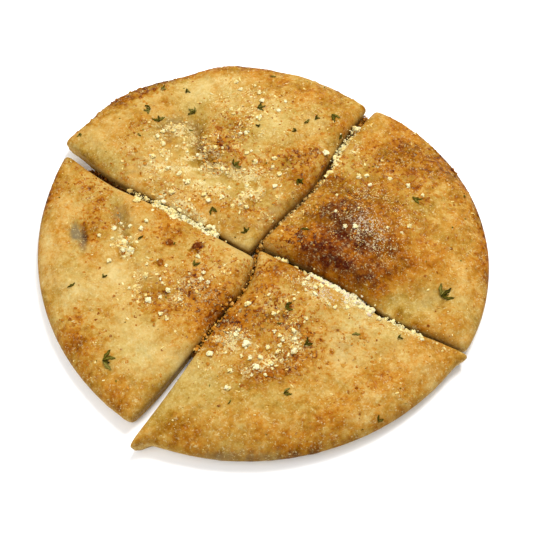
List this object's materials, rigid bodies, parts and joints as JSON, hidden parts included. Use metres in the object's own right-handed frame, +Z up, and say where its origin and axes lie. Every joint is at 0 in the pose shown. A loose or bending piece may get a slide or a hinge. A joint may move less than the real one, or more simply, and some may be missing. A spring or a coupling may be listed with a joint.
{
  "type": "garlic bread",
  "caption": "Round flat garlic bread with a blistered golden crust, grated cheese and dried parsley, cut crosswise into quarter slices that lie a little apart.",
  "frame": {"origin": "middle of the flat underside of the whole bread, on the surface it lies on", "axes": "+Z up out of the browned top, +Y towards the back slice, +X towards the right slice"},
  "size_m": [0.2308, 0.2338, 0.0245],
  "materials": {
    "baked_bread": "golden baked crust brushed with butter, with browned blisters, grated cheese and dried parsley"
  },
  "bodies": {
    "root": {"slice_right": "baked_bread", "slice_back": "baked_bread", "slice_left": "baked_bread", "slice_front": "baked_bread"}
  },
  "joints": []
}
